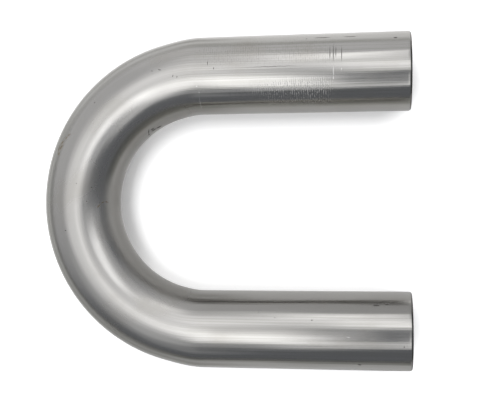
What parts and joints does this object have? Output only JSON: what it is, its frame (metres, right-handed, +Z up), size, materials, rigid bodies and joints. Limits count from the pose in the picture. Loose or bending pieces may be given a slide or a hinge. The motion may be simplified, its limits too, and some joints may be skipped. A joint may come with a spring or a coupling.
{
  "type": "return bend",
  "caption": "Thin-wall round steel tube bent through a half turn into a U, with parallel straight legs open at their ends to join pipe runs.",
  "frame": {"origin": "on the ground under the middle of the part's box, with the bend lying flat", "axes": "+X along the legs towards the open ends, +Y across towards the left leg, +Z up"},
  "size_m": [0.365, 0.3262, 0.0762],
  "materials": {
    "tube_metal": "mill finish, with drawing lines, bending marks and light stains"
  },
  "bodies": {
    "root": {"bent_tube": "tube_metal"}
  },
  "joints": []
}
